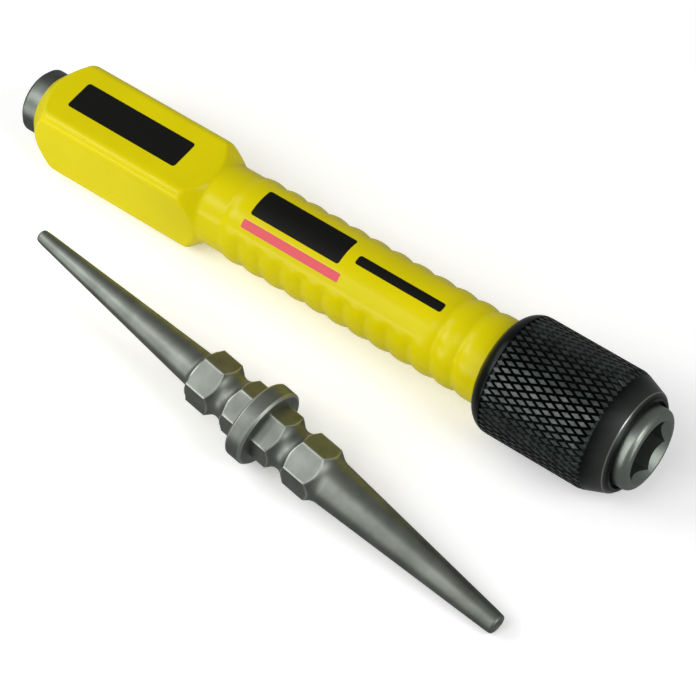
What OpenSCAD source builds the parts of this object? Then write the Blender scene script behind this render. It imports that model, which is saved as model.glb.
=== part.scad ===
// Nail setter: a steel core in a moulded grip, with a sprung locking collar
// that holds a double-ended punch by its hexagon. The tool lies along +X,
// its struck face at the origin, and the punch lies beside it.

/* [Steel core] */
// Length from the struck face to the front of the nose
tool_len = 112.8; // [110:0.1:120]
// Diameter of the striking rod
rod_d = 10.3; // [9.6:0.1:10.8]
// Chamfer round the struck face
rod_chamfer = 0.6; // [0.3:0.1:1.2]
// Length of rod that stands out behind the grip
rod_show = 2.9; // [1:0.1:6]
// Diameter of the chuck body that the collar slides on
chuck_d = 11.8; // [11.6:0.1:12]
// Diameter of the nose in front of the collar's stop
nose_d = 12.9; // [12.8:0.1:13.3]
// Length of the nose from its stop shoulder to its front
nose_len = 3; // [2.7:0.1:3.3]
// Radius of the nose's front edge
nose_round = 1; // [0.4:0.1:1.2]

/* [Socket] */
// Clearance on each flat between the punch's hexagon and the socket
socket_gap = 0.06; // [0.03:0.01:0.1]
// Room behind the punch's fillet at the bottom of the socket
socket_room = 0.2; // [0.1:0.1:0.6]
// Diameter of the socket's countersunk mouth
mouth_d = 10.2; // [9.8:0.1:10.6]
// Diameter of the deep bore that takes the punch's hidden end
bore_d = 7.5; // [7.3:0.1:7.8]
// Room in front of the hidden tip at the bottom of the bore
bore_room = 1.4; // [0.5:0.1:3]

/* [Grip head] */
// Length of the square head along the tool
head_len = 32.6; // [30:0.1:40]
// Width across the head's flats
head_w = 13.35; // [13.2:0.05:16]
// Radius of the head's long edges
head_edge_r = 1.65; // [1:0.05:3]
// Angle of the cone behind the head
head_rear_angle = 45; // [38:1:50]
// Radius that rounds this cone into the head's long edges
head_rear_r = 1.5; // [1.4:0.1:5]
// Angle of the cone in front of the head
head_front_angle = 41.5; // [36:0.5:50]
// Radius that rounds that cone into the long edges
head_front_r = 1.5; // [1.4:0.1:5]

/* [Grip barrel] */
// Diameter of the plain neck and of the grooves between the ribs
neck_d = 12.9; // [12.8:0.1:13.2]
// Length of the plain neck
neck_len = 4.35; // [2:0.05:6]
// Distance from rib to rib
rib_pitch = 3.9; // [3.6:0.1:4.2]
// Number of ribs that show
rib_count = 12; // [11:1:12]
// Number of whole rings next to the collar
ring_count = 2; // [1:1:4]
// Length of the last of these rings, which runs straight under the collar
last_ring_len = 4.6; // [3.9:0.1:5.4]
// Height of a rib over its grooves
rib_h = 0.35; // [0.2:0.05:0.5]
// Flat bottom of the groove between two ribs
rib_flat = 0.3; // [0.1:0.05:0.8]
// Height of the smooth panel over the ribs' crests
panel_h = 0.05; // [0.05:0.01:0.15]
// Angle that the smooth panel covers round the barrel
panel_angle = 88; // [70:2:120]
// Angle by which the panel is turned from the head's top face towards the punch
panel_turn = 9; // [0:1:20]
// Length of grip hidden under the collar
tail_len = 3; // [2.6:0.1:3.4]
// Clearance between the hidden end of the grip and the chamber round it
tail_gap = 0.75; // [0.5:0.05:1]

/* [Collar] */
// Largest diameter of the collar
collar_d = 18.9; // [18:0.1:22]
// Length of nose that the collar leaves bare
nose_show = 2.1; // [1.6:0.1:2.3]
// Radius of the collar's rear edge
collar_rear_r = 3.2; // [3.1:0.1:4]
// Length over which that edge is rounded
collar_rear_len = 2.9; // [2.4:0.1:3]
// Length of the smooth cone at the collar's front
collar_cone_len = 4.4; // [3:0.1:5]
// Diameter at the small end of that cone
collar_cone_d = 16.1; // [15.6:0.1:17]
// Chamfer of the collar's front edge
collar_front_chamfer = 0.6; // [0.2:0.1:0.8]
// Diameter of the spring chamber, open to the rear
chamber_d = 14.5; // [14.3:0.1:14.9]
// Length of the land that rides on the chuck body
land_len = 4.8; // [4.2:0.1:5.4]
// Diameter of the recess round the nose
recess_d = 13.9; // [13.7:0.1:14.2]
// Travel of the collar towards the grip
release_travel = 2.5; // [2.3:0.1:2.6]

/* [Lock] */
// Diameter of the locking ball
ball_d = 2.3; // [2.2:0.05:2.4]
// Radius from the tool's axis to the ball's inner side when locked
ball_in_r = 3.63; // [3.6:0.01:3.7]
// Distance that the ball moves outwards on release
ball_lift = 0.45; // [0.42:0.01:0.47]

/* [Spring] */
// Wire diameter of the release spring
wire_d = 0.9; // [0.7:0.05:1]
// Clearance of the wire to the core inside it and to the chamber round it
wire_gap = 0.225; // [0.15:0.025:0.3]
// Turns of the release spring, with its closed ends
spring_turns = 6; // [5:0.5:7]
// Gap between the last two turns at each end, closer than the open turns
spring_end_gap = 0.45; // [0.42:0.01:0.6]
// Thickness of the washer behind the spring
washer_t = 0.8; // [0.5:0.1:1]
// Thickness of the snap ring behind the washer
snap_t = 0.9; // [0.7:0.1:1.1]
// Opening of the snap ring
snap_gap = 5; // [3:0.5:7]

/* [Punch] */
// Length of each half of the punch from the middle of its flange
punch_half_len = 45.3; // [44:0.1:46]
// Width across the flats of the punch's hexagon
hex_af = 7.94; // [7.9:0.01:7.98]
// Diameter of the flange between the halves
flange_d = 12.7; // [12:0.1:13]
// Thickness of the flange
flange_t = 3; // [2.6:0.1:3.4]
// Chamfer of the flange's rims
flange_chamfer = 0.35; // [0.2:0.05:0.6]
// Distance from the middle of the flange to the middle of each groove
groove_pos = 6.05; // [5.9:0.05:6.2]
// Width of each groove where it meets the hexagon's corners
groove_w = 3.5; // [3.2:0.1:3.6]
// Diameter at the bottom of each groove
groove_d = 6.9; // [6.8:0.1:7]
// Distance from the middle of the flange to the end of each hexagon
hex_end = 11.75; // [11.6:0.05:11.9]
// Chamfer along the fine hexagon's corners at its end
hex_chamfer = 0.3; // [0.1:0.05:0.5]
// Radius of the fillet between the fine hexagon and its taper
fine_fillet_r = 1.25; // [1.1:0.05:1.3]
// Radius of the fillet between the broad hexagon and its taper
broad_fillet_r = 2.8; // [2:0.1:3.2]
// Diameter of the fine taper where it leaves the hexagon
fine_root_d = 5.8; // [5.4:0.1:6.4]
// Diameter of the fine tip
fine_tip_d = 2.1; // [1.6:0.1:2.6]
// Diameter of the broad taper where it leaves the hexagon
broad_root_d = 7.1; // [6.6:0.1:7.2]
// Diameter of the broad tip
broad_tip_d = 3.2; // [2.8:0.1:3.8]
// Radius round the edge of the fine tip
fine_tip_round = 0.7; // [0.3:0.05:0.75]
// Radius round the edge of the broad tip
broad_tip_round = 0.5; // [0.3:0.05:1]
// Width of the cup in each tip, as a share of the face inside the round edge
cup_share = 0.8; // [0.5:0.05:0.9]
// Depth of each cup as a share of half its width
cup_depth_share = 0.3; // [0.2:0.05:0.5]

/* [Punch beside the tool] */
// Distance of the flange's middle in front of the struck face
punch_x = 64.3; // [55:0.1:75]
// Distance of the flange's middle beside the tool's axis
punch_y = 26.6; // [22:0.1:60]
// Height of the flange's middle below the tool's axis
punch_drop = 2.26; // [1.5:0.01:3]
// Angle of the punch away from the tool, seen from above
punch_yaw = 5.7; // [0:0.1:15]
// Angle by which the punch's broad end lies lower
punch_pitch = 7.9; // [7:0.1:8.5]
// Angle of the punch about its own axis
punch_roll = 59; // [0:1:60]

/* [Fits] */
// Radial clearance of pieces that slide on each other
slide_gap = 0.1; // [0.05:0.01:0.12]
// Radial clearance between the grip and the core that it is moulded on
mould_gap = 0.02; // [0.01:0.01:0.05]
// Clearance between faces that bear on each other
seat_gap = 0.05; // [0.02:0.01:0.1]
// Clearance round the ball in its hole
ball_gap = 0.05; // [0.03:0.01:0.08]

/* [Hidden] */
$fn = 96;

// One overrun serves all the cuts
cut = 1;
// Width of the square that bounds a half profile
span = collar_d;

// Places along the tool
grip_x = rod_show;
neck_x = grip_x + head_len;
rib_x = neck_x + neck_len;
ring_x = rib_x + (rib_count - 1) * rib_pitch + last_ring_len;
grip_end_x = ring_x + tail_len;
chuck_x = grip_end_x + seat_gap;
stop_x = tool_len - nose_len;
collar_front_x = tool_len - nose_show;
collar_x = ring_x;
collar_len = collar_front_x - collar_x;

// The ball sits over the middle of the punch's groove
ball_x = tool_len - groove_pos + flange_t / 2;
ball_r = ball_d / 2;
ball_pos_r = ball_in_r + ball_r;

// The collar's land and the ramp that lets the ball out
land_r = chuck_d / 2 + slide_gap;
land_front_x = stop_x - seat_gap;
land_x = land_front_x - land_len;
ramp_slope = ball_lift / release_travel;
ramp_r = land_r + ramp_slope * (land_front_x - ball_x);

// The socket and the bore behind it
socket_af = hex_af + 2 * socket_gap;
socket_len = hex_end + fine_fillet_r - flange_t / 2 + socket_room;
socket_x = tool_len - socket_len;
bore_x = tool_len - (punch_half_len - flange_t / 2) - bore_room;
drill_angle = 59;

// The snap ring, its washer and the spring
snap_x = chuck_x + snap_t + tail_len / 4;
seat_r = chamber_d / 2 - wire_d - 2 * wire_gap;
seat_end_x = land_x;
snap_depth = seat_r / 10;
snap_root_r = seat_r - snap_depth;
washer_in_r = seat_r + slide_gap;
washer_out_r = chamber_d / 2 - slide_gap;
washer_x = snap_x + snap_t;
spring_x = washer_x + washer_t + seat_gap;
spring_len = land_x - seat_gap - spring_x;
spring_r = (seat_r + chamber_d / 2) / 2;

// Radii of the head's outline
dome_r = sqrt(2) * (head_w / 2 - head_edge_r) + head_edge_r + seat_gap;
dome_foot_r = rod_d / 2 + mould_gap + seat_gap;

// The circle whose cap is a rib
rib_half = (rib_pitch - rib_flat) / 2;
rib_r = (pow(rib_half, 2) + pow(rib_h, 2)) / (2 * rib_h);
rib_crest_r = neck_d / 2 + rib_h;

// The punch's turned shapes
hex_corner_r = hex_af / sqrt(3);
groove_depth = hex_corner_r - groove_d / 2;
groove_r = (pow(groove_w / 2, 2) + pow(groove_depth, 2)) / (2 * groove_depth);

// Lays a shape that stands on the Z axis along the tool, from a place on X
module along(x = 0) {
    translate([x, 0, 0])
        rotate([0, 90, 0])
            children();
}

// Turns a half profile of radius and length round the tool's axis
module turned(x = 0) {
    along(x)
        rotate_extrude()
            children();
}

// A round bar with its first and last radius
module bar(x, len, r1, r2) {
    along(x)
        cylinder(h = len, r1 = r1, r2 = r2);
}

// A hexagonal bar, a corner uppermost
module hex_bar(x, len, af) {
    along(x)
        cylinder(h = len, d = af / cos(30), $fn = 6);
}

// What a round edge leaves of a square corner, the corner at the origin
module edge_waste(r) {
    difference() {
        translate([-r, -r])
            square(r + cut);
        translate([-r, -r])
            circle(r);
    }
}

// The striking rod, chuck body and nose, turned from one bar
module core_outline() {
    difference() {
        union() {
            polygon([
                [0, 0],
                [rod_d / 2 - rod_chamfer, 0],
                [rod_d / 2, rod_chamfer],
                [rod_d / 2, chuck_x],
                [0, chuck_x]
            ]);
            translate([0, chuck_x])
                square([seat_r, seat_end_x - chuck_x]);
            translate([0, seat_end_x])
                square([chuck_d / 2, stop_x - seat_end_x]);
            translate([0, stop_x])
                square([nose_d / 2, nose_len]);
        }
        translate([nose_d / 2, tool_len])
            edge_waste(nose_round);
        translate([snap_root_r, snap_x])
            square([span, snap_t]);
    }
}

module ball_hole() {
    lip_r = ball_r * cos(30) + seat_gap / 2;
    lip_top_r = ball_pos_r - ball_r / 2;
    translate([ball_x, 0, 0])
        rotate([-90, 0, 0]) {
            cylinder(h = nose_d, r = lip_r);
            translate([0, 0, lip_top_r])
                cylinder(h = nose_d, r = ball_r + ball_gap);
        }
}

module steel_core() {
    mouth_depth = (mouth_d - socket_af) / 2;
    color("slategray")
        difference() {
            turned()
                core_outline();
            hex_bar(socket_x, socket_len + cut, socket_af);
            bar(bore_x, socket_x - bore_x + cut, bore_d / 2, bore_d / 2);
            bar(bore_x - bore_d / 2 / tan(drill_angle), bore_d / 2 / tan(drill_angle), 0, bore_d / 2);
            bar(tool_len - mouth_depth, mouth_depth, socket_af / 2, mouth_d / 2);
            ball_hole();
        }
}

// What a cone with a round edge cuts off the head, from its foot at one end inwards
module cone_waste(end_x, inwards, angle, r, foot_r) {
    hip_r = dome_r - r * (1 - cos(angle));
    hip_x = end_x + inwards * (hip_r - foot_r) / tan(angle);
    top_x = hip_x + inwards * r * sin(angle);
    difference() {
        polygon([
            [foot_r, end_x],
            [foot_r, end_x - inwards * cut],
            [dome_r + cut, end_x - inwards * cut],
            [dome_r + cut, top_x],
            [dome_r, top_x],
            [hip_r, hip_x]
        ]);
        translate([dome_r - r, top_x])
            circle(r);
    }
}

// The head's turned form: a cone behind it and another down to the neck
module head_outline() {
    difference() {
        square([dome_r, head_len]);
        cone_waste(0, 1, head_rear_angle, head_rear_r, dome_foot_r);
        cone_waste(head_len, -1, head_front_angle, head_front_r, neck_d / 2);
    }
}

module rounded_square(w, r) {
    square([w - 2 * r, w], center = true);
    square([w, w - 2 * r], center = true);
    for (y = [-1, 1], z = [-1, 1])
        translate([y * (w / 2 - r), z * (w / 2 - r)])
            circle(r);
}

module grip_head() {
    intersection() {
        turned(grip_x)
            head_outline();
        along(grip_x)
            linear_extrude(head_len)
                rounded_square(head_w, head_edge_r);
    }
}

// Neck, ribs and the tail under the collar
module barrel_outline() {
    translate([0, neck_x - head_front_r / 4])
        square([neck_d / 2, ring_x - neck_x + head_front_r / 4]);
    translate([0, ring_x])
        square([chamber_d / 2 - tail_gap, tail_len]);
    for (i = [0 : rib_count - 1])
        intersection() {
            translate([rib_crest_r - rib_r, rib_x + (i + 1 / 2) * rib_pitch])
                circle(rib_r);
            translate([neck_d / 4, rib_x + i * rib_pitch])
                square([span, rib_pitch]);
        }
    translate([0, ring_x - last_ring_len + rib_pitch / 2])
        square([rib_crest_r, last_ring_len - rib_pitch / 2]);
}

// The smooth panel over the ribs, from the first crest to the last fluted one
module grip_panel() {
    first_x = rib_x + rib_pitch / 2;
    last_x = first_x + (rib_count - ring_count - 1) * rib_pitch;
    half = panel_angle / 2;
    intersection() {
        bar(first_x, last_x - first_x, rib_crest_r + panel_h, rib_crest_r + panel_h);
        along(first_x)
            linear_extrude(last_x - first_x)
                rotate(panel_turn)
                    polygon([
                        [0, 0],
                        [-span * cos(half), -span * sin(half)],
                        [-span, 0],
                        [-span * cos(half), span * sin(half)]
                    ]);
    }
}

module grip() {
    color("gold")
        difference() {
            union() {
                grip_head();
                turned()
                    barrel_outline();
                grip_panel();
            }
            bar(grip_x - cut, grip_end_x - grip_x + 2 * cut,
                rod_d / 2 + mould_gap, rod_d / 2 + mould_gap);
        }
}

// The collar's outside: rounded rear edge, knurled band and front cone
module collar_outline() {
    difference() {
        polygon([
            [0, 0],
            [collar_d / 2, 0],
            [collar_d / 2, collar_len - collar_cone_len],
            [collar_cone_d / 2, collar_len - collar_front_chamfer],
            [collar_cone_d / 2 - collar_front_chamfer, collar_len],
            [0, collar_len]
        ]);
        difference() {
            translate([collar_d / 2 - collar_rear_r, -cut])
                square([collar_rear_r + cut, collar_rear_len + cut]);
            translate([collar_d / 2 - collar_rear_r, collar_rear_len])
                circle(collar_rear_r);
        }
    }
}

// The collar's inside: chamber, land, ramp over the ball and front recess
module collar_bore() {
    polygon([
        [0, collar_x - cut],
        [chamber_d / 2, collar_x - cut],
        [chamber_d / 2, land_x],
        [land_r, land_x],
        [land_r, ball_x],
        [ramp_r, land_front_x],
        [recess_d / 2, land_front_x],
        [recess_d / 2, collar_front_x + cut],
        [0, collar_front_x + cut]
    ]);
}

module locking_collar() {
    color("dimgray")
        difference() {
            turned(collar_x)
                collar_outline();
            turned()
                collar_bore();
        }
}

// The points of a round wire's section at one place along the spring
function wire_ring(a, x, sides) = [
    for (i = [0 : sides - 1])
        let (t = 360 * i / sides, r = spring_r + wire_d / 2 * cos(t))
            [x + wire_d / 2 * sin(t), r * sin(a), r * cos(a)]
];

// A helix that climbs slowly over its end turns and quickly between them
module release_spring() {
    rings = 20;
    sides = 8;
    steps = round(spring_turns * rings);
    slow = (wire_d + spring_end_gap) / rings;
    quick = (spring_len - wire_d - 2 * rings * slow) / (steps - 2 * rings);
    function climb(i) = min(i, rings) * slow
        + max(min(i, steps - rings) - rings, 0) * quick
        + max(i - steps + rings, 0) * slow;
    function place(i) = spring_x + wire_d / 2 + climb(i);
    middles = [
        for (i = [0 : steps])
            [place(i), spring_r * sin(360 * i / rings), spring_r * cos(360 * i / rings)]
    ];
    gaps = [
        for (i = [0 : steps - rings / 2], j = [i + rings / 2 : steps])
            norm(middles[i] - middles[j]) - wire_d
    ];
    points = [
        for (i = [0 : steps])
            each wire_ring(360 * i / rings, place(i), sides)
    ];
    skin = [
        for (i = [0 : steps - 1], j = [0 : sides - 1])
            let (a = i * sides + j, b = i * sides + (j + 1) % sides)
                each [[a, b, b + sides], [a, b + sides, a + sides]]
    ];
    caps = [
        for (j = [1 : sides - 2])
            each [[0, j + 1, j], [steps * sides, steps * sides + j, steps * sides + j + 1]]
    ];
    echo(least_gap_between_turns = min(gaps));
    color("silver")
        polyhedron(points, concat(skin, caps));
}

module spring_washer() {
    color("silver")
        difference() {
            bar(washer_x, washer_t, washer_out_r, washer_out_r);
            bar(washer_x - cut, washer_t + 2 * cut, washer_in_r, washer_in_r);
        }
}

// An open ring that springs into the groove of the chuck body
module snap_ring() {
    out_r = (washer_in_r + chamber_d / 2) / 2;
    color("darkgray")
        difference() {
            bar(snap_x, snap_t - seat_gap, out_r, out_r);
            bar(snap_x - cut, snap_t + 2 * cut, snap_root_r + seat_gap, snap_root_r + seat_gap);
            translate([snap_x - cut, -snap_gap / 2, 0])
                cube([snap_t + 2 * cut, snap_gap, span]);
        }
}

module locking_ball() {
    color("silver")
        translate([ball_x, ball_pos_r, 0])
            sphere(ball_r);
}

// Length along the punch of a fillet that rises from a taper to the hexagon's corners
function fillet_len(root_r, fillet_r) =
    let (rise = min(hex_corner_r - root_r, fillet_r))
        sqrt(pow(fillet_r, 2) - pow(fillet_r - rise, 2));

// The turned outline of one half: hexagon with its groove, fillet and taper
module punch_outline(root_r, tip_r, fillet_r, edge_r) {
    taper_x = hex_end + fillet_len(root_r, fillet_r);
    cup_half = (tip_r - edge_r) * cup_share;
    cup_depth = cup_half * cup_depth_share;
    cup_r = (pow(cup_half, 2) + pow(cup_depth, 2)) / (2 * cup_depth);
    difference() {
        polygon([
            [0, 0],
            [hex_corner_r + cut, 0],
            [hex_corner_r + cut, taper_x],
            [root_r, taper_x],
            [tip_r, punch_half_len],
            [0, punch_half_len]
        ]);
        translate([groove_d / 2 + groove_r, groove_pos])
            circle(groove_r);
        translate([root_r + fillet_r, taper_x])
            circle(fillet_r);
        // A fillet that ends inside the corners leaves the hexagon a chamfered end
        if (root_r + fillet_r < hex_corner_r)
            polygon([
                [hex_af / 2, hex_end],
                [hex_corner_r, hex_end - hex_chamfer],
                [2 * hex_corner_r, hex_end - hex_chamfer],
                [2 * hex_corner_r, taper_x + cut],
                [hex_af / 2, taper_x + cut]
            ]);
        translate([tip_r + (root_r - tip_r) * edge_r / (punch_half_len - taper_x), punch_half_len])
            edge_waste(edge_r);
        translate([0, punch_half_len - cup_depth + cup_r])
            circle(cup_r);
    }
}

// One half of the punch on +X
module punch_half(root_d, tip_d, fillet_r, edge_r) {
    intersection() {
        hex_bar(0, punch_half_len + cut, hex_af);
        turned()
            punch_outline(root_d / 2, tip_d / 2, fillet_r, edge_r);
    }
}

module flange() {
    turned(-flange_t / 2)
        polygon([
            [0, 0],
            [flange_d / 2 - flange_chamfer, 0],
            [flange_d / 2, flange_chamfer],
            [flange_d / 2, flange_t - flange_chamfer],
            [flange_d / 2 - flange_chamfer, flange_t],
            [0, flange_t]
        ]);
}

module double_ended_punch() {
    color("gray")
        translate([punch_x, -punch_y, -punch_drop])
            rotate([0, punch_pitch, -punch_yaw])
                rotate([punch_roll, 0, 0]) {
                    flange();
                    punch_half(broad_root_d, broad_tip_d, broad_fillet_r, broad_tip_round);
                    mirror([1, 0, 0])
                        punch_half(fine_root_d, fine_tip_d, fine_fillet_r, fine_tip_round);
                }
}

steel_core();
grip();
locking_collar();
release_spring();
spring_washer();
snap_ring();
locking_ball();
double_ended_punch();
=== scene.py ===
import math

import bmesh
import bpy
import numpy as np
from mathutils import Euler, Matrix, Vector


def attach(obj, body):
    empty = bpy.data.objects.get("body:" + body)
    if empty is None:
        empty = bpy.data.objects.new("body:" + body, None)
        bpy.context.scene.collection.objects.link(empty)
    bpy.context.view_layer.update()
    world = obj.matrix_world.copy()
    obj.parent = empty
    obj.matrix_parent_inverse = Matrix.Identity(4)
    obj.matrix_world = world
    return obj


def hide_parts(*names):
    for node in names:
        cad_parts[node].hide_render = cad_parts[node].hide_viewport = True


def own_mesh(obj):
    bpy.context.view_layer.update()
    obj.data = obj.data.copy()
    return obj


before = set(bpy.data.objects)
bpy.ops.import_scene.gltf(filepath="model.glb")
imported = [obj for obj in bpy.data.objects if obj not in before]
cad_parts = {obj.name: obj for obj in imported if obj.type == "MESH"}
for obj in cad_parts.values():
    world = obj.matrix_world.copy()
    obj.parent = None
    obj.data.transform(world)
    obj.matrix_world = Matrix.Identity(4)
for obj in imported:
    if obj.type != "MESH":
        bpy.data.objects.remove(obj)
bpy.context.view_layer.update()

# Nail setter: a steel core in a moulded grip, with a knurled locking collar, and a
# double-ended punch beside it. Lengths are in millimetres until a mesh is made, places are
# counted along the tool from the struck face, and turns go from the top towards +Y.
MM = 0.001

# The grip's square head, between a cone at its rear and another at its shoulder
GRIP_X = 2.9
HEAD_HALF = 6.675
HEAD_EDGE = 1.65
HEAD_EASE = 0.35
DOME_R = 8.806
REAR_SLOPE = 45
SHOULDER_SLOPE = 41.5
CONE_ROUND = 1.5
REAR_LAND = 0.05

# The grip's neck and its ribs: eleven grooves, of which the last two run right round
NECK_X = 35.5
NECK_R = 6.45
NECK_FILLET = 0.25
RIB_X = 39.85
RIB_H = 0.35
RIB_PITCH = 3.9
RIB_FLAT = 0.3
GROOVES = 11
SIDE_GROOVES = 9
RING_X = 87.35
GRIP_END = 90.35
GRIP_BORE_R = 5.17

# The smooth panel on top of the barrel, turned a little towards the punch. The grooves run out
# at PANEL_HALF degrees from its middle, and its own low rise ends at PANEL_SIDE degrees.
PANEL_TURN = -9.0
PANEL_HALF = 43
PANEL_H = 0.05
PANEL_END = 78.8
PANEL_EASE = 2
PANEL_SIDE = 48
PANEL_SIDE_EASE = 8

# The collar outside: a rounded rear edge, a straight band, a cone and its chamfered front edge
COLLAR_X = 87.35
COLLAR_FRONT = 110.7
COLLAR_R = 9.45
REAR_R = 3.2
REAR_LEN = 2.9
CONE_X = 106.3
CONE_END_R = 8.05
CONE_EDGE = 0.6

# The collar inside, from the spring's chamber to the recess in front
CHAMBER_R = 7.25
LAND_X = 104.95
LAND_R = 6.0
BALL_X = 108.25
RAMP_X = 109.75
RAMP_R = 6.27
RECESS_R = 6.95

# The knurl: a count round the collar and a pitch along it. Its grooves keep between KNURL_X and
# KNURL_END, and the first row of diamonds has its middle at KNURL_ROW_X.
KNURL_COUNT = 52
KNURL_PITCH = 1.366
KNURL_DEPTH = 0.27
KNURL_TOP_SHARE = 0.6
KNURL_X = 89.75
KNURL_END = 107.15
KNURL_ROW_X = 90.31
KNURL_ROWS = 13

# The punch, from the middle of its flange, and how it lies beside the tool
HALF_LEN = 45.3
HEX_FLAT = 3.97
HEX_END = 11.75
HEX_CHAMFER = 0.3
FLANGE_R = 6.35
FLANGE_HALF = 1.5
FLANGE_CHAMFER = 0.35
GROOVE_X = 6.05
GROOVE_HALF = 1.75
GROOVE_R = 3.45
PUNCH_MIDDLE = (64.3, -26.6, -2.26)
PUNCH_LEAN = (59.0, 7.9, -5.7)

# Bars of ink: their face over the plastic, and the side of each film that is sunk in it
PRINT_LIFT = 0.02
HEAD_PRINT_SINK = 0.05
BARREL_PRINT_DEPTH = 0.07

# The floor's height at the struck face, and its rise along X and Y
FLOOR_Z = -6.54
FLOOR_RISE = (-0.0333, 0.0009)
FLOOR_REACH = 3000.0

# The softboxes are alike, and all are turned to the middle of the group
SOFTBOX_SIZE = 200
GROUP_MIDDLE = (60, -8, 0)


def linear(colour):
    """An sRGB hex colour as linear red, green, blue and alpha"""
    parts = [int(colour[i : i + 2], 16) / 255 for i in (1, 3, 5)]
    return [c / 12.92 if c <= 0.04045 else ((c + 0.055) / 1.055) ** 2.4 for c in parts] + [1.0]


def add(tree, kind, settings=None, values=None, links=None):
    """Adds a node with its settings, its input values and the outputs linked into it"""
    node = tree.nodes.new(kind)
    for name, value in (settings or {}).items():
        setattr(node, name, value)
    for name, value in (values or {}).items():
        node.inputs[name].default_value = value
    for name, output in (links or {}).items():
        tree.links.new(output, node.inputs[name])
    return node


def new_material(name, values):
    """A material with its shader and the object's own coordinates in metres"""
    material = bpy.data.materials.new(name)
    material.use_nodes = True
    tree = material.node_tree
    tree.nodes.clear()
    shader = add(tree, "ShaderNodeBsdfPrincipled", values=values)
    add(tree, "ShaderNodeOutputMaterial", links={"Surface": shader.outputs["BSDF"]})
    place = add(tree, "ShaderNodeTexCoord").outputs["Object"]
    return material, tree, shader, place


def noise(tree, place, size, detail):
    """A soft random pattern whose patches are about a size in mm"""
    values = {"Scale": 1 / (size * MM), "Detail": detail}
    return add(tree, "ShaderNodeTexNoise", values=values, links={"Vector": place}).outputs["Fac"]


def tool_rings(tree, place, pitch, spread, detail):
    """A random pattern drawn out round X: rings at a pitch in mm that change over a spread in mm"""
    scale = (1 / (pitch * MM), 1 / (spread * MM), 1 / (spread * MM))
    along = add(tree, "ShaderNodeMapping", values={"Scale": scale}, links={"Vector": place})
    values = {"Scale": 1.0, "Detail": detail}
    links = {"Vector": along.outputs["Vector"]}
    return add(tree, "ShaderNodeTexNoise", values=values, links=links).outputs["Fac"]


def toned(tree, pattern, dark, light, low=0.3, high=0.7):
    """A colour that follows a pattern, dark where it is low and light where it is high"""
    ramp = add(tree, "ShaderNodeValToRGB", links={"Fac": pattern})
    for element, position, colour in zip(ramp.color_ramp.elements, (low, high), (dark, light)):
        element.position = position
        element.color = linear(colour)
    return ramp.outputs["Color"]


def covered(tree, share, under, over):
    """A colour laid over another by a share from 0 to 1"""
    values = {"Color2": linear(over)}
    links = {"Fac": share, "Color1": under}
    return add(tree, "ShaderNodeMixRGB", values=values, links=links).outputs["Color"]


def with_painted_highlight(tree, tone, bright):
    """A tone painted bright where the piece's points are marked with a painted highlight"""
    # The marks on the points say where a highlight is painted
    painted_highlight = add(tree, "ShaderNodeAttribute", settings={"attribute_name": "painted_highlight"})
    return covered(tree, painted_highlight.outputs["Fac"], tone, bright)


def ranged(tree, pattern, low, high):
    """A pattern brought between two values"""
    values = {"To Min": low, "To Max": high}
    return add(tree, "ShaderNodeMapRange", values=values, links={"Value": pattern}).outputs["Result"]


def relief(tree, height, strength, depth, under=None):
    """The surface's direction with relief of a depth in mm, over another relief if there is one"""
    links = {"Height": height}
    if under:
        links["Normal"] = under
    values = {"Strength": strength, "Distance": depth * MM}
    return add(tree, "ShaderNodeBump", values=values, links=links).outputs["Normal"]


def moulded_abs():
    """Injection-moulded yellow ABS: a satin gloss skin over slightly translucent plastic, with
    the faint unevenness of thick mouldings"""
    material, tree, shader, place = new_material(
        "moulded_yellow_abs",
        {
            "Roughness": 0.21,
            "IOR": 1.53,
            "Specular IOR Level": 0.14,
            "Subsurface Weight": 0.12,
            "Subsurface Radius": (1.0, 0.7, 0.05),
            "Subsurface Scale": 0.4 * MM,
        },
    )
    # Flow marks about 9 mm wide shift the colour a little
    tone = toned(tree, noise(tree, place, size=9, detail=2.0), "#d6c800", "#dbcd00")
    tree.links.new(tone, shader.inputs["Base Color"])
    # Sink marks about 5 mm wide under a spark-finished grain of 0.3 mm
    sink = relief(tree, noise(tree, place, size=5, detail=1.0), strength=0.5, depth=0.12)
    grain = noise(tree, place, size=0.3, detail=2.0)
    skin = relief(tree, grain, strength=0.25, depth=0.01, under=sink)
    tree.links.new(skin, shader.inputs["Normal"])
    return material


def turned_steel(
    name, dark, light, roughness, pitch, depth, middle=(0, 0, 0), lean=(0, 0, 0), painted_light_along=None
):
    """Turned steel: fine rings left by the tool round its own X, at the pitch of its feed, which
    spread the highlight, over a slightly cloudy tone from the rust-proofing oil. Where a piece
    marks points with a painted highlight, the colour is painted bright there."""
    material, tree, shader, place = new_material(name, {"Metallic": 1.0, "Roughness": roughness})
    place = add(
        tree,
        "ShaderNodeMapping",
        settings={"vector_type": "TEXTURE"},
        values={"Location": [v * MM for v in middle], "Rotation": [math.radians(a) for a in lean]},
        links={"Vector": place},
    ).outputs["Vector"]
    # The oil dries in clouds about 4 mm wide
    tone = toned(tree, noise(tree, place, size=4, detail=3.0), dark, light)
    if painted_light_along:
        # From a place along it, and fully 2 mm further on, the colour is painted paler: painted light
        start, pale = painted_light_along
        along = add(tree, "ShaderNodeSeparateXYZ", links={"Vector": place}).outputs["X"]
        change = add(
            tree,
            "ShaderNodeMapRange",
            values={"From Min": start * MM, "From Max": (start + 2) * MM, "To Max": 0.9},
            links={"Value": along},
        )
        tone = covered(tree, change.outputs["Result"], tone, pale)
    # Points marked with a painted highlight are painted a bright bare-steel colour
    tree.links.new(with_painted_highlight(tree, tone, "#d4d8d1"), shader.inputs["Base Color"])
    rings = tool_rings(tree, place, pitch, spread=30, detail=3.0)
    uneven = 0.07
    sheen = ranged(tree, rings, roughness - uneven, roughness + uneven)
    tree.links.new(sheen, shader.inputs["Roughness"])
    tree.links.new(relief(tree, rings, strength=0.6, depth=depth), shader.inputs["Normal"])
    return material


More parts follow.
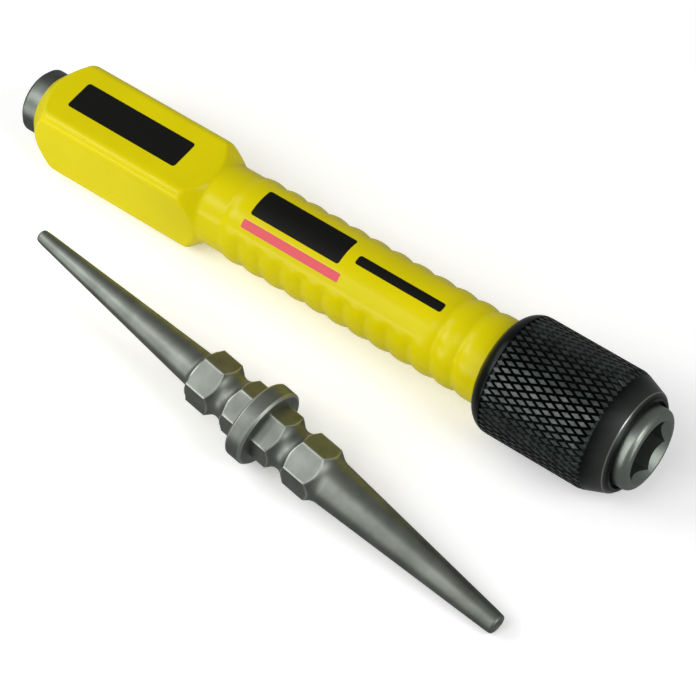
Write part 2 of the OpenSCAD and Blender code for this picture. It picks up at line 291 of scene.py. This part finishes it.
def black_oxide(name, dark, light, roughness):
    """Black oxide on turned steel: a thin dark conversion coat with a low sheen, cloudy where the
    oil on it has dried, and painted bright where an edge is marked with a painted highlight"""
    material, tree, shader, place = new_material(name, {"Metallic": 0.85, "Roughness": roughness})
    # Clouds of about 1.5 mm, over tool rings 0.12 mm apart
    tone = toned(tree, noise(tree, place, size=1.5, detail=4.0), dark, light, low=0.35)
    # Edges marked with a painted highlight are painted a bright grey
    tree.links.new(with_painted_highlight(tree, tone, "#a8aca6"), shader.inputs["Base Color"])
    rings = tool_rings(tree, place, pitch=0.12, spread=20, detail=2.0)
    tree.links.new(relief(tree, rings, strength=0.5, depth=0.01), shader.inputs["Normal"])
    return material


def printed_ink(name, colour):
    """Pad-printed ink: a thin even film, duller than the plastic, with the pinholes of about
    0.15 mm that such prints have"""
    material, tree, shader, place = new_material(
        name, {"Base Color": linear(colour), "Roughness": 0.5, "IOR": 1.5, "Specular IOR Level": 0.16}
    )
    pinholes = noise(tree, place, size=0.15, detail=1.0)
    tree.links.new(ranged(tree, pinholes, low=0.44, high=0.6), shader.inputs["Roughness"])
    tree.links.new(relief(tree, pinholes, strength=0.3, depth=0.005), shader.inputs["Normal"])
    return material


def matte_paper():
    """White paper: dull and nearly even, with fibres too fine to show drawn 2 mm wide, and a
    little light of its own, as on a light table"""
    material, tree, shader, place = new_material(
        "matte_paper",
        {"Roughness": 0.9, "IOR": 1.4, "Emission Color": linear("#ffffff"), "Emission Strength": 0.26},
    )
    fibres = noise(tree, place, size=2, detail=2.0)
    tone = toned(tree, fibres, "#f3f3f3", "#f6f6f6", low=0, high=1)
    tree.links.new(tone, shader.inputs["Base Color"])
    return material


def soft_min(a, b, ease):
    """The smaller of two radii, blended over the ease where they meet"""
    share = np.clip(0.5 + 0.5 * (b - a) / ease, 0, 1)
    return b + (a - b) * share - ease * share * (1 - share)


def eased(corners, steps=4):
    """A profile through corners (place, radius, ease), each corner rounded over its ease"""
    points = []
    for i, (x, r, ease) in enumerate(corners):
        if ease == 0 or i in (0, len(corners) - 1):
            points.append((x, r))
            continue
        corner = Vector((x, r))
        before = corner + (Vector(corners[i - 1][:2]) - corner).normalized() * ease
        after = corner + (Vector(corners[i + 1][:2]) - corner).normalized() * ease
        for k in range(steps + 1):
            t = k / steps
            points.append(tuple(before * (1 - t) ** 2 + corner * 2 * t * (1 - t) + after * t**2))
    return points


def rings_at(places, radii, turns):
    """Rings of points round X: a place for each ring, and a radius and turn for each point, or
    one row of turns for all"""
    turns = np.atleast_2d(turns)
    radii = np.broadcast_to(radii, (len(places), turns.shape[1]))
    x = np.broadcast_to(np.asarray(places)[:, None], radii.shape)
    return np.stack([x, radii * np.sin(turns), radii * np.cos(turns)], axis=2)


def ring_faces(rows, cols, loop):
    """Faces between rings, closed into a loop of rings or capped at both ends"""
    faces = []
    for i in range(rows if loop else rows - 1):
        a, b = i * cols, (i + 1) % rows * cols
        faces += [(a + j, a + (j + 1) % cols, b + (j + 1) % cols, b + j) for j in range(cols)]
    if not loop:
        faces += [tuple(range(cols)), tuple(range((rows - 1) * cols, rows * cols))]
    return faces


def new_piece(name, points, faces, materials, crease=35):
    """A piece from points in mm and faces, smooth but for edges sharper than the crease"""
    mesh = bpy.data.meshes.new(name)
    mesh.from_pydata((np.asarray(points) * MM).tolist(), [], faces)
    shape = bmesh.new()
    shape.from_mesh(mesh)
    bmesh.ops.recalc_face_normals(shape, faces=shape.faces)
    shape.to_mesh(mesh)
    shape.free()
    for material in materials:
        mesh.materials.append(material)
    mesh.shade_smooth()
    mesh.set_sharp_from_angle(angle=math.radians(crease))
    piece = bpy.data.objects.new(name, mesh)
    bpy.context.scene.collection.objects.link(piece)
    return piece


def mark_painted_highlight(piece, shares):
    """Marks how strongly a highlight is painted on the surface at each point of a piece"""
    marks = piece.data.attributes.new("painted_highlight", "FLOAT", "POINT")
    marks.data.foreach_set("value", np.asarray(shares, dtype=np.float32).ravel())


def near(distance, width):
    """A share that is one on an edge and fades over about a width in mm from it"""
    return np.exp(-((distance / width) ** 2))


def square_radius(turns):
    """Radius of the head's rounded square at each turn"""
    u = np.maximum(abs(np.cos(turns)), abs(np.sin(turns)))
    v = np.minimum(abs(np.cos(turns)), abs(np.sin(turns)))
    corner = HEAD_HALF - HEAD_EDGE
    reach = math.sqrt(2) * corner
    lean = math.pi / 4 - np.arctan2(v, u)
    rounded = reach * np.cos(lean) + np.sqrt(np.maximum(HEAD_EDGE**2 - (reach * np.sin(lean)) ** 2, 0))
    return np.where(HEAD_HALF * v / u > corner, rounded, HEAD_HALF / u)


def cone_end(inwards, foot_r, slope):
    """Radius at a distance inwards from an end of the head: a cone rounded into the long edges"""
    hip_r = DOME_R - CONE_ROUND * (1 - math.cos(slope))
    hip = (hip_r - foot_r) / math.tan(slope)
    top = hip + CONE_ROUND * math.sin(slope)
    fall = np.minimum(inwards, top) - top
    edge = DOME_R - CONE_ROUND + np.sqrt(np.maximum(CONE_ROUND**2 - fall**2, 0))
    return np.where(inwards < hip, foot_r + inwards * math.tan(slope), edge)


def dome_radius(x):
    """Radius of the turned form that bounds the head: a cone behind it, another down to the neck"""
    rear = cone_end(x - GRIP_X, GRIP_BORE_R + REAR_LAND, math.radians(REAR_SLOPE))
    front = cone_end(NECK_X - x, NECK_R, math.radians(SHOULDER_SLOPE))
    return np.minimum(rear, front)


def groove_depth(distance):
    """Depth of the groove between two ribs at a distance from its middle"""
    half = (RIB_PITCH - RIB_FLAT) / 2
    cap_r = (half**2 + RIB_H**2) / (2 * RIB_H)
    from_crest = np.clip(RIB_PITCH / 2 - distance, 0, half)
    return cap_r - np.sqrt(cap_r**2 - from_crest**2)


def barrel_radius(x, turns):
    """Radius of the barrel: ribs round the sides whose grooves run out against a smooth panel"""
    crest = NECK_R + RIB_H
    side = abs((turns - math.radians(PANEL_TURN) + math.pi) % (2 * math.pi) - math.pi)
    arc = crest * side
    groove_start = crest * math.radians(PANEL_HALF) + RIB_PITCH / 2
    depth = groove_depth(np.maximum(x - RIB_X, 0) + 0 * arc)
    for i in range(1, GROOVES + 1):
        run_out = np.maximum(groove_start - arc, 0) if i <= SIDE_GROOVES else 0 * arc
        depth = np.maximum(depth, groove_depth(np.hypot(x - RIB_X - i * RIB_PITCH, run_out)))
    panel = PANEL_H * np.clip((math.radians(PANEL_SIDE) - side) / math.radians(PANEL_SIDE_EASE), 0, 1)
    panel = panel * np.clip((x - RIB_X) / PANEL_EASE, 0, 1) * np.clip((PANEL_END - x) / PANEL_EASE, 0, 1)
    return crest + panel - depth


def make_grip():
    """The yellow moulding: square head, shoulder, neck and ribbed barrel on the core's bore"""
    around = 216
    turns = np.arange(around) * 2 * math.pi / around
    # Rings stand close where the outline curves and wide on the head's flats
    flats_start, flats_end, neck_start, ribs_end = 8.2, 30.2, NECK_X + 0.8, 85.2
    spans = [
        np.arange(GRIP_X, flats_start, 0.15),
        np.arange(flats_start, flats_end, 1.1),
        np.arange(flats_end, neck_start, 0.15),
        np.arange(neck_start, RIB_X, 0.5),
        np.arange(RIB_X, ribs_end, 0.24),
        [RING_X, RING_X + 0.02, GRIP_END],
    ]
    places = np.concatenate(spans)
    x = places[:, None]
    head = soft_min(square_radius(turns)[None, :], dome_radius(x), HEAD_EASE)
    # The shoulder runs into the neck over a small fillet, which reaches no further back
    fillet_x, drop, barrel_x = NECK_X - 0.4, 2.0, NECK_X + 1.5
    neck = NECK_R - drop * np.clip(fillet_x - x, 0, 1) + 0 * head
    head = -soft_min(-head, -neck, NECK_FILLET)
    radii = np.where(x < barrel_x, head, barrel_radius(x, turns[None, :]))
    radii = np.where(x > RING_X + 0.01, NECK_R, radii)
    outside = rings_at(places, radii, turns)
    # Two rings between the bore's ends keep its faces from being very long
    inside = rings_at([GRIP_END, 60.0, 30.0, GRIP_X], GRIP_BORE_R, turns)
    rings = np.concatenate([outside, inside])
    faces = ring_faces(len(rings), len(turns), loop=True)
    grip = new_piece("yellow_grip", rings.reshape(-1, 3), faces, [grip_plastic])
    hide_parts("grip")
    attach(grip, "handle")


def make_head_print():
    """A plain bar of ink on the head, where a grip of this kind is printed"""
    middle_x, half_length, half_width, edge = 18.8, 10.4, 2.6, 0.5
    quarter = np.linspace(0, math.pi / 2, 7)
    outline = []
    for sx, sy, start in ((1, 1, 0), (-1, 1, 1), (-1, -1, 2), (1, -1, 3)):
        for t in quarter + start * math.pi / 2:
            x = middle_x + sx * (half_length - edge) + edge * math.cos(t)
            outline.append((x, sy * (half_width - edge) + edge * math.sin(t)))
    face = [(x, y, HEAD_HALF + PRINT_LIFT) for x, y in outline]
    foot = [(x, y, HEAD_HALF - HEAD_PRINT_SINK) for x, y in outline]
    label = new_piece("head_print", face + foot, ring_faces(2, len(outline), loop=False), [black_ink])
    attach(label, "handle")


def make_barrel_print(name, start, end, low, high, edge, ink):
    """A plain bar of ink on the panel, from a start to an end along it and between two distances
    round it, with its corners rounded"""
    r = NECK_R + RIB_H + PANEL_H + PRINT_LIFT
    corner = edge * (1 - np.cos(np.linspace(0, math.pi / 2, 6)))
    places = np.concatenate([start + corner, np.arange(start + 2, end - 1.5, 1.0), end - corner[::-1]])
    near_end = np.minimum(np.minimum(places - start, end - places), edge)
    trim = edge - np.sqrt(np.maximum(edge**2 - (edge - near_end) ** 2, 0))
    across = np.linspace(0, 1, 13)[None, :]
    turns = ((low + trim)[:, None] * (1 - across) + (high - trim)[:, None] * across) / r
    # The film's face, and its back below the plastic's surface
    turns = np.concatenate([turns, turns[:, ::-1]], axis=1)
    cols = turns.shape[1]
    radii = r - BARREL_PRINT_DEPTH * (np.arange(cols) >= cols // 2)[None, :]
    film = rings_at(places, radii, turns).reshape(-1, 3)
    bar = new_piece(name, film, ring_faces(len(places), cols, loop=False), [ink])
    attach(bar, "handle")


def rear_radius(x):
    """Radius of the collar's rounded rear edge"""
    fall = np.minimum(np.asarray(x) - COLLAR_X - REAR_LEN, 0)
    return COLLAR_R - REAR_R + np.sqrt(REAR_R**2 - fall**2)


def cone_radius(x):
    """Radius of the cone at the collar's front"""
    slope = (COLLAR_R - CONE_END_R) / (COLLAR_FRONT - CONE_EDGE - CONE_X)
    return COLLAR_R - slope * np.maximum(np.asarray(x) - CONE_X, 0)


def knurl_diamonds():
    """Diamonds of a crossed knurl with flat tops. Its grooves stop at the knurling wheel's edge
    behind and run out on the front cone. Returns points, faces and which faces are tops."""
    half_step = math.pi / KNURL_COUNT
    points, faces, tops, crossings = [], [], [], {}

    def point(row, column, top):
        x = min(max(KNURL_ROW_X + row * KNURL_PITCH, KNURL_X), KNURL_END)
        limit = min(float(rear_radius(x)), float(cone_radius(x)))
        r = limit if top else min(COLLAR_R - KNURL_DEPTH, limit - 0.01)
        points.append((x, r * math.sin(column * half_step), r * math.cos(column * half_step)))
        return len(points) - 1

    def crossing(row, column):
        key = (row, column % (2 * KNURL_COUNT))
        if key not in crossings:
            crossings[key] = point(*key, False)
        return crossings[key]

    sides = ((-1, 0), (0, 1), (1, 0), (0, -1))
    for row in range(KNURL_ROWS):
        for column in range(row % 2, 2 * KNURL_COUNT, 2):
            foot = [crossing(row + along, column + across) for along, across in sides]
            top = [
                point(row + along * KNURL_TOP_SHARE, column + across * KNURL_TOP_SHARE, True)
                for along, across in sides
            ]
            faces += [(foot[k], foot[(k + 1) % 4], top[(k + 1) % 4], top[k]) for k in range(4)]
            faces.append(tuple(top))
            tops += [0, 0, 0, 0, 1]
    return points, faces, tops


def make_collar():
    """The black locking collar: knurled band, front cone, and the stepped bore inside"""
    # The turned body lies just under the knurl's grooves
    under_r = COLLAR_R - KNURL_DEPTH - 0.03
    middle_x = 98.0
    rear_x = np.linspace(COLLAR_X, KNURL_X - 0.05, 24)
    cone_len = COLLAR_FRONT - CONE_EDGE - CONE_X
    cone_x = CONE_X + (COLLAR_R - under_r) * cone_len / (COLLAR_R - CONE_END_R)
    edge_ease = 0.1
    profile = eased(
        [(x, float(rear_radius(x)), 0) for x in rear_x]
        + [
            (KNURL_X + 0.1, under_r, 0),
            (middle_x, under_r, 0),
            (cone_x, under_r, 0.05),
            (COLLAR_FRONT - CONE_EDGE, CONE_END_R, 0.15),
            (COLLAR_FRONT, CONE_END_R - CONE_EDGE, edge_ease),
            (COLLAR_FRONT, RECESS_R, edge_ease),
            (RAMP_X, RECESS_R, edge_ease),
            (RAMP_X, RAMP_R, edge_ease),
            (BALL_X, LAND_R, edge_ease),
            (LAND_X, LAND_R, edge_ease),
            (LAND_X, CHAMBER_R, edge_ease),
            (COLLAR_X, CHAMBER_R, edge_ease),
            (COLLAR_X, float(rear_radius(COLLAR_X)), 0),
        ]
    )
    around = 168
    turns = np.arange(around) * 2 * math.pi / around
    places, radii = np.array(profile).T
    rings = rings_at(places, radii[:, None], turns)
    body = ring_faces(len(rings), len(turns), loop=True)
    points, diamonds, tops = knurl_diamonds()
    shift = len(rings) * len(turns)
    faces = body + [tuple(k + shift for k in face) for face in diamonds]
    points = np.concatenate([rings.reshape(-1, 3), np.array(points)])
    # The knurl's tops get the paler oxide, a painted highlight
    collar = new_piece("knurled_collar", points, faces, [oxide, oxide_painted_highlight], crease=30)
    marks = np.zeros(len(faces), dtype=np.int32)
    marks[len(body) :] = tops
    collar.data.polygons.foreach_set("material_index", marks)
    # The edge between the cone and the front chamfer gets a painted highlight
    rim = near(np.hypot(places - COLLAR_FRONT + CONE_EDGE, radii - CONE_END_R), 0.12)
    shares = np.zeros(len(collar.data.vertices))
    shares[:shift] = np.repeat(0.8 * rim, len(turns))
    mark_painted_highlight(collar, shares)
    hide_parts("locking_collar")
    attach(collar, "collar")


def half_profile(root_r, tip_r, fillet_r, edge_r):
    """Profile of one half of the punch as (place, radius, whether the hexagon bounds it)"""
    top_r = HEX_FLAT / math.cos(math.pi / 6)
    # At a radius just over the corners, the hexagon alone gives the outline
    corner_r = top_r + 0.05
    depth = top_r - GROOVE_R
    arc_r = (GROOVE_HALF**2 + depth**2) / (2 * depth)
    reach = math.sqrt(arc_r**2 - (GROOVE_R + arc_r - corner_r) ** 2)
    groove = [
        (GROOVE_X + x, GROOVE_R + arc_r - math.sqrt(arc_r**2 - x**2)) for x in np.linspace(-reach, reach, 33)
    ]
    rise = min(top_r - root_r, fillet_r)
    taper_x = HEX_END + math.sqrt(fillet_r**2 - (fillet_r - rise) ** 2)
    hexagon = [(x, corner_r) for x in (FLANGE_HALF, FLANGE_HALF + 0.15, 3.0)] + groove
    flats_end = HEX_END - HEX_CHAMFER
    hexagon += [(x, corner_r) for x in np.linspace(GROOVE_X + reach + 0.2, flats_end - 0.05, 8)]
    if root_r + fillet_r < top_r:
        # The fine hexagon's corners are chamfered down to its flats
        hexagon += [(flats_end, top_r), (HEX_END, HEX_FLAT)]
        rise = HEX_FLAT - root_r
    start = math.acos(1 - rise / fillet_r)
    fillet = [
        (taper_x - fillet_r * math.sin(t), root_r + fillet_r * (1 - math.cos(t)))
        for t in np.linspace(start, 0, 16)
    ]
    # The tip has a shallow cup
    cup_half = (tip_r - edge_r) * 0.8
    cup_depth = cup_half * 0.3
    cup_r = (cup_half**2 + cup_depth**2) / (2 * cup_depth)
    cup = [
        (HALF_LEN - cup_depth + cup_r - math.sqrt(cup_r**2 - r**2), r)
        for r in np.linspace(cup_half, cup_half * 0.05, 7)
    ]
    taper_start, taper_end, tip_x = 14.4, 44, 44.2
    slope = (tip_r - root_r) / (HALF_LEN - taper_x)
    taper = [(x, root_r + slope * (x - taper_x)) for x in np.linspace(taper_start, taper_end, 16)]
    tip = eased(
        [(tip_x, tip_r, 0), (HALF_LEN, tip_r, edge_r), (HALF_LEN, cup_half, 0.05), cup[1] + (0,)], steps=8
    )
    on_hexagon = [(x, r, True) for x, r in hexagon + fillet]
    return on_hexagon + [(x, r, False) for x, r in taper + tip[1:-1] + cup[1:]]


def make_punch():
    """The double-ended punch: flange, grooved hexagons, and a fine and a broad taper"""
    # Points stand close at the hexagon's corners
    offsets = [0, 0.4, 0.9, 1.6, 2.6] + list(range(4, 31, 2))
    sector = sorted({round(a, 3) for a in offsets} | {round(60 - a, 3) for a in offsets if a > 0})
    turns = np.radians([60 * k + a for k in range(6) for a in sector])
    from_flat = abs(turns % (math.pi / 3) - math.pi / 6)
    this_flat, next_flat = HEX_FLAT / np.cos(from_flat), HEX_FLAT / np.cos(math.pi / 3 - from_flat)
    corner_ease, groove_ease, rim_ease = 0.12, 0.08, 0.12
    hexagon = soft_min(this_flat, next_flat, corner_ease)
    face_r = 4.7
    flange = eased(
        [
            (-FLANGE_HALF, face_r, 0),
            (-FLANGE_HALF, FLANGE_R - FLANGE_CHAMFER, rim_ease),
            (-FLANGE_HALF + FLANGE_CHAMFER, FLANGE_R, rim_ease),
            (FLANGE_HALF - FLANGE_CHAMFER, FLANGE_R, rim_ease),
            (FLANGE_HALF, FLANGE_R - FLANGE_CHAMFER, rim_ease),
            (FLANGE_HALF, face_r, 0),
        ]
    )
    fine = half_profile(root_r=2.9, tip_r=1.05, fillet_r=1.25, edge_r=0.7)
    broad = half_profile(root_r=3.55, tip_r=1.6, fillet_r=2.8, edge_r=0.5)
    profile = [(-x, r, h) for x, r, h in reversed(fine)] + [(x, r, False) for x, r in flange] + broad
    radii = [soft_min(hexagon, r, groove_ease) if h else np.full(len(turns), r) for x, r, h in profile]
    rings = rings_at([x for x, r, h in profile], np.array(radii), turns)
    faces = ring_faces(len(rings), len(turns), loop=False)
    turn = np.array(Euler([math.radians(a) for a in PUNCH_LEAN]).to_matrix())
    points = rings.reshape(-1, 3) @ turn.T + np.array(PUNCH_MIDDLE)
    punch = new_piece("turned_punch", points, faces, [punch_steel], crease=50)
    # Painted highlights lie on the hexagons' long edges, the arcs where grooves cut their flats,
    # and the flange's rims
    from_edge = (math.pi / 6 - from_flat) * HEX_FLAT / math.cos(math.pi / 6)
    arc_width, edge_width, rim_width = 0.1, 0.14, 0.09
    painted_highlight = []
    for x, r, h in profile:
        if h:
            on_flat = np.clip(1 - (hexagon - r) / arc_width, 0, 1)
            painted_highlight.append(np.maximum(on_flat * near(from_edge, edge_width), near(r - hexagon, arc_width)))
        else:
            from_rim = abs(r + abs(x) - FLANGE_R - FLANGE_HALF + FLANGE_CHAMFER)
            on_rim = abs(x) < FLANGE_HALF + 0.01 and from_rim < rim_width
            painted_highlight.append(np.full(len(turns), 0.6 * on_rim))
    mark_painted_highlight(punch, 0.7 * np.array(painted_highlight))
    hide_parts("double_ended_punch")
    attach(punch, "punch")


def make_spring():
    """The release spring: drawn wire wound on the core, closer at its two ends"""
    turns, wire_r, coil_r, start, length, end_gap = 6, 0.45, 6.575, 93.8, 11.1, 0.45
    count, sides = turns * 48, 14
    t = np.linspace(0, turns, count + 1)
    slow = 2 * wire_r + end_gap
    quick = (length - 2 * wire_r - 2 * slow) / (turns - 2)
    climb = np.minimum(t, 1) * slow
    climb = climb + np.clip(t - 1, 0, turns - 2) * quick + np.maximum(t - turns + 1, 0) * slow
    angle = 2 * math.pi * t[:, None]
    around = np.arange(sides)[None, :] * 2 * math.pi / sides
    r = coil_r + wire_r * np.cos(around)
    x = start + wire_r + climb[:, None] + wire_r * np.sin(around)
    points = np.stack([x, r * np.sin(angle), r * np.cos(angle)], axis=2)
    faces = ring_faces(count + 1, sides, loop=False)
    spring = new_piece("wound_spring", points.reshape(-1, 3), faces, [spring_wire])
    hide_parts("release_spring")
    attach(spring, "handle")
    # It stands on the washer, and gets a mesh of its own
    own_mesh(spring)


def make_floor():
    """A plain pale floor under the head, the punch's flange and the collar, which slides back
    just clear of it. Reflections pass it by."""
    corners = []
    for sx, sy in ((-1, -1), (1, -1), (1, 1), (-1, 1)):
        x, y = sx * FLOOR_REACH, sy * FLOOR_REACH
        corners.append((x, y, FLOOR_Z + FLOOR_RISE[0] * x + FLOOR_RISE[1] * y))
    floor = new_piece("floor", corners, [(0, 1, 2, 3)], [matte_paper()])
    floor.visible_glossy = False


def softbox(name, place, power):
    """A square soft light at a place in mm, turned to the tool"""
    light = bpy.data.lights.new(name, "AREA")
    light.shape = "SQUARE"
    light.size = SOFTBOX_SIZE * MM
    light.energy = power
    lamp = bpy.data.objects.new(name, light)
    lamp.location = Vector(place) * MM
    lamp.rotation_mode = "QUATERNION"
    lamp.rotation_quaternion = (Vector(GROUP_MIDDLE) - Vector(place)).to_track_quat("-Z", "Y")
    bpy.context.scene.collection.objects.link(lamp)


def light_the_studio():
    """Soft light all round: low along the near side and past the nose, high at nose and head"""
    world = bpy.data.worlds.new("studio")
    world.use_nodes = True
    tree = world.node_tree
    tree.nodes.clear()
    back = add(tree, "ShaderNodeBackground", values={"Color": linear("#ffffff"), "Strength": 0.25})
    add(tree, "ShaderNodeOutputWorld", links={"Surface": back.outputs["Background"]})
    bpy.context.scene.world = world
    softbox("low_side_softbox", (-180, -423, 25), 0.44)
    softbox("low_nose_softbox", (539, -8, 25), 0.38)
    softbox("side_softbox", (-57, -444, 164), 0.18)
    softbox("nose_softbox", (428, -8, 309), 0.7)
    softbox("head_softbox", (-308, -8, 309), 0.36)
    softbox("near_head_softbox", (-237, -224, 309), 0.66)
    softbox("near_side_softbox", (-54, -358, 309), 0.24)
    softbox("top_softbox", (60, -233, 424), 0.33)


def place_camera():
    """The camera at the photograph's viewing angle"""
    right, up, back = (0.7873, 0.6132, -0.0637), (-0.4665, 0.6601, 0.5888), (0.4031, -0.4339, 0.8058)
    place = Vector((263.6, -221.6, 392.6)) * MM
    data = bpy.data.cameras.new("camera")
    data.lens = 175.86
    data.sensor_width = 36
    data.clip_start, data.clip_end = 0.05, 20
    camera = bpy.data.objects.new("camera", data)
    camera.matrix_world = Matrix.Translation(place) @ Matrix((right, up, back)).transposed().to_4x4()
    bpy.context.scene.collection.objects.link(camera)
    bpy.context.scene.camera = camera


def finish_cad(node, material):
    """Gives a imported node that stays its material"""
    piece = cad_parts[node]
    for slot in piece.material_slots:
        slot.material = material


grip_plastic = moulded_abs()
black_ink = printed_ink("black_pad_print", "#080806")
coral_ink = printed_ink("coral_pad_print", "#dc5c64")
# Nearly black, with the knurl's tops painted grey: a painted highlight
oxide = black_oxide("black_oxide_steel", "#131716", "#1d2222", roughness=0.3)
oxide_painted_highlight = black_oxide("black_oxide_painted_highlight_on_knurl_tops", "#383d3b", "#585e5b", roughness=0.36)
# Dark oiled bar, its nose painted paler: painted light
core_steel = turned_steel(
    "turned_core_steel",
    "#5f655f",
    "#787e77",
    roughness=0.4,
    pitch=0.25,
    depth=0.012,
    painted_light_along=(98, "#939b93"),
)
# Dull steel with a broad soft highlight, its rings set by the way that the punch lies
punch_steel = turned_steel(
    "turned_punch_steel",
    "#71766f",
    "#898e86",
    roughness=0.48,
    pitch=0.3,
    depth=0.03,
    middle=PUNCH_MIDDLE,
    lean=PUNCH_LEAN,
)
# Bright wire with faint die marks
spring_wire = turned_steel(
    "drawn_spring_wire", "#8f918c", "#a8aaa5", roughness=0.25, pitch=0.5, depth=0.004
)
# Duller rings, tumbled after stamping
stamped_steel = turned_steel(
    "stamped_ring_steel", "#7c7f7a", "#90938e", roughness=0.4, pitch=0.4, depth=0.006
)
# A ball like a mirror
bearing_steel = turned_steel(
    "polished_bearing_steel", "#b9bab7", "#c6c7c4", roughness=0.14, pitch=1.0, depth=0.001
)

make_grip()
make_head_print()
make_barrel_print("barrel_print_black", 43.8, 60.0, low=-2.8, high=2.2, edge=0.4, ink=black_ink)
make_barrel_print("barrel_print_thin", 62.0, 77.4, low=-1.4, high=0.2, edge=0.4, ink=black_ink)
make_barrel_print("barrel_print_coral", 43.4, 61.2, low=-5.2, high=-3.8, edge=0.2, ink=coral_ink)
make_collar()
make_punch()
make_spring()
finish_cad("steel_core", core_steel)
finish_cad("spring_washer", stamped_steel)
finish_cad("snap_ring", stamped_steel)
finish_cad("locking_ball", bearing_steel)
make_floor()
light_the_studio()
place_camera()
bpy.context.scene.view_settings.view_transform = "Standard"
